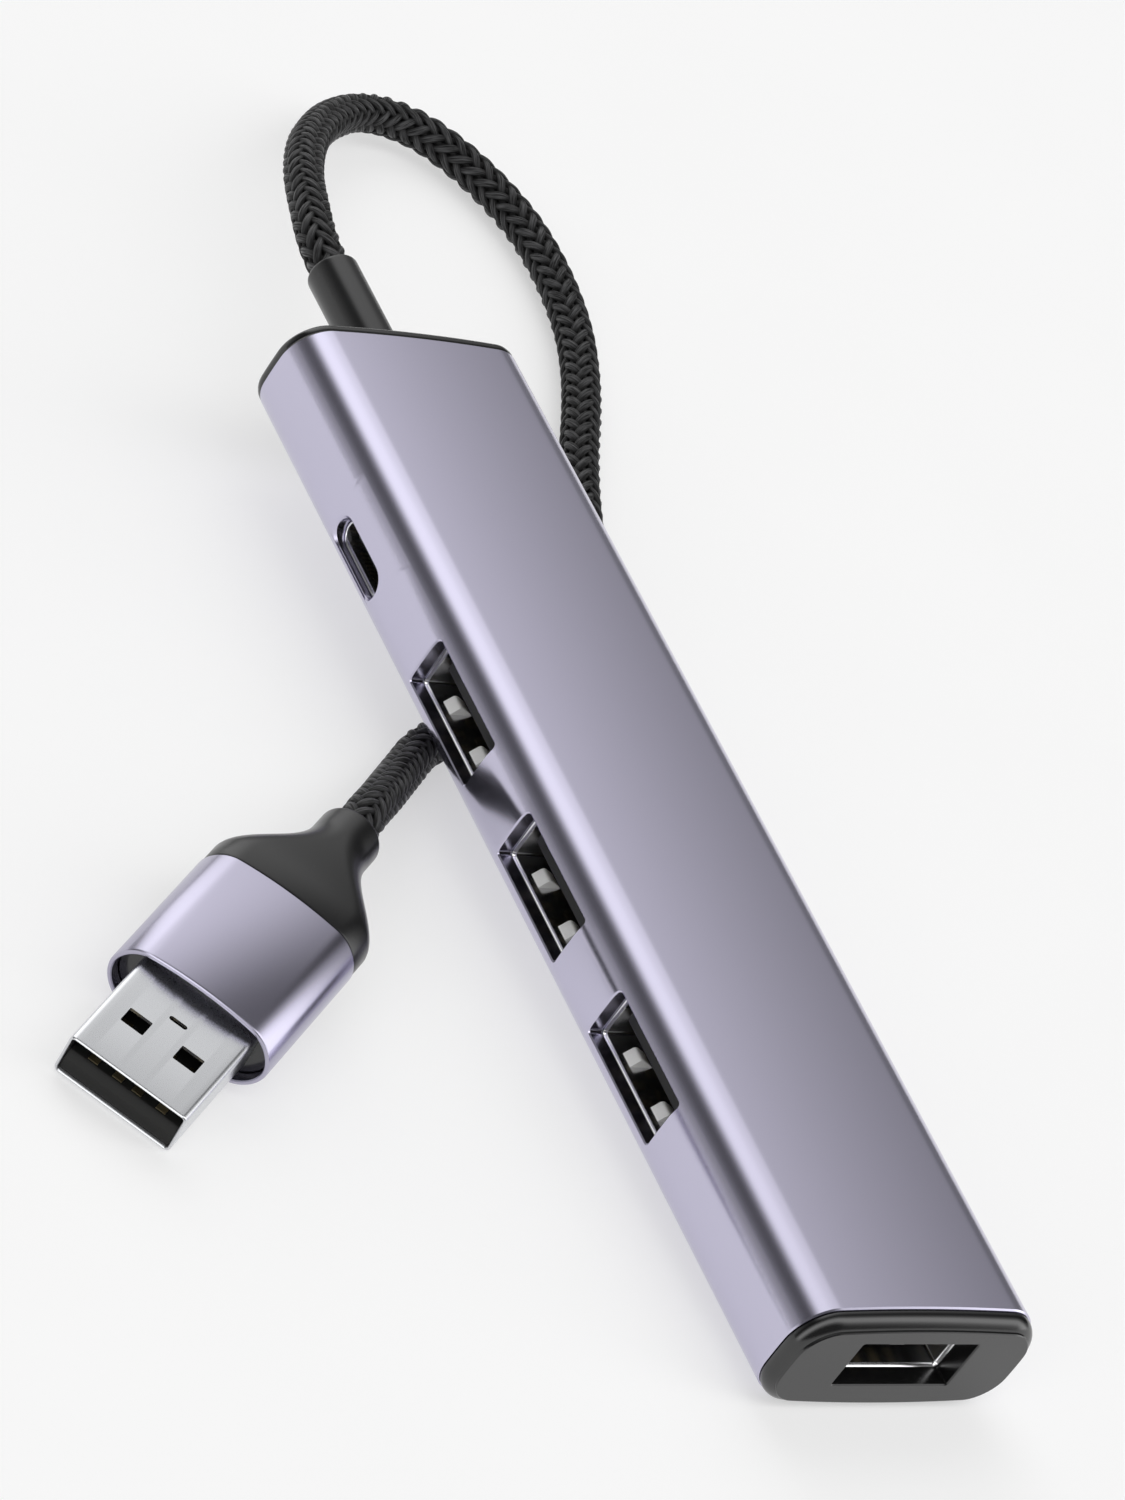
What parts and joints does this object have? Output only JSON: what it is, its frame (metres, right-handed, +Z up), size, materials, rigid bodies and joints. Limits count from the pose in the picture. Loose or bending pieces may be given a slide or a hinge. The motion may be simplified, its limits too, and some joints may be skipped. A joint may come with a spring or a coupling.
{
  "type": "usb hub",
  "caption": "Slim flat aluminium USB hub with USB-A ports along one side and in the front cap, a USB-C power inlet, and a short braided lead ending in a USB-A plug.",
  "frame": {"origin": "on the surface that the hub stands on, under the middle of the leaning hub's box, strain relief included and free lead left out", "axes": "+Y from the front cap towards the lead, +Z up, +X to the right seen from the front; the hub's own length leans back 3.2 degrees from +Y, because it lies on its lead"},
  "size_m": [0.1142, 0.1759, 0.0179],
  "materials": {
    "anodised_aluminium": "satin",
    "black_plastic": "satin",
    "insulator": "matte",
    "sheet_steel": "satin",
    "plug_steel": "satin",
    "contact_gold": "polished",
    "board_green": "satin",
    "chip_black": "matte",
    "capacitor_tan": "matte",
    "black_rubber": "satin",
    "black_braid": "matte",
    "wire_red": "gloss"
  },
  "bodies": {
    "root": {"housing": "anodised_aluminium", "plug_sleeve": "anodised_aluminium", "front_cap": "black_plastic", "rear_cap": "black_plastic", "inner_frame": "black_plastic", "port_1_tongue": "insulator", "port_2_tongue": "insulator", "port_3_tongue": "insulator", "front_port_tongue": "insulator", "power_inlet_tongue": "insulator", "plug_tongue": "insulator", "plug_core": "insulator", "port_1_shell": "sheet_steel", "port_2_shell": "sheet_steel", "port_3_shell": "sheet_steel", "front_port_shell": "sheet_steel", "power_inlet_shell": "sheet_steel", "plug_crimp": "sheet_steel", "lead_crimp": "sheet_steel", "crystal": "sheet_steel", "plug_shell": "plug_steel", "port_1_contacts": "contact_gold", "port_2_contacts": "contact_gold", "port_3_contacts": "contact_gold", "front_port_contacts": "contact_gold", "power_inlet_contacts": "contact_gold", "plug_contacts": "contact_gold", "circuit_board": "board_green", "hub_controller": "chip_black", "power_switch": "chip_black", "capacitors": "capacitor_tan", "strain_relief": "black_rubber", "plug_boot": "black_rubber", "lead": "black_braid", "lead_hub_end": "black_braid", "lead_plug_end": "black_braid", "lead_wires": "wire_red"}
  },
  "joints": []
}
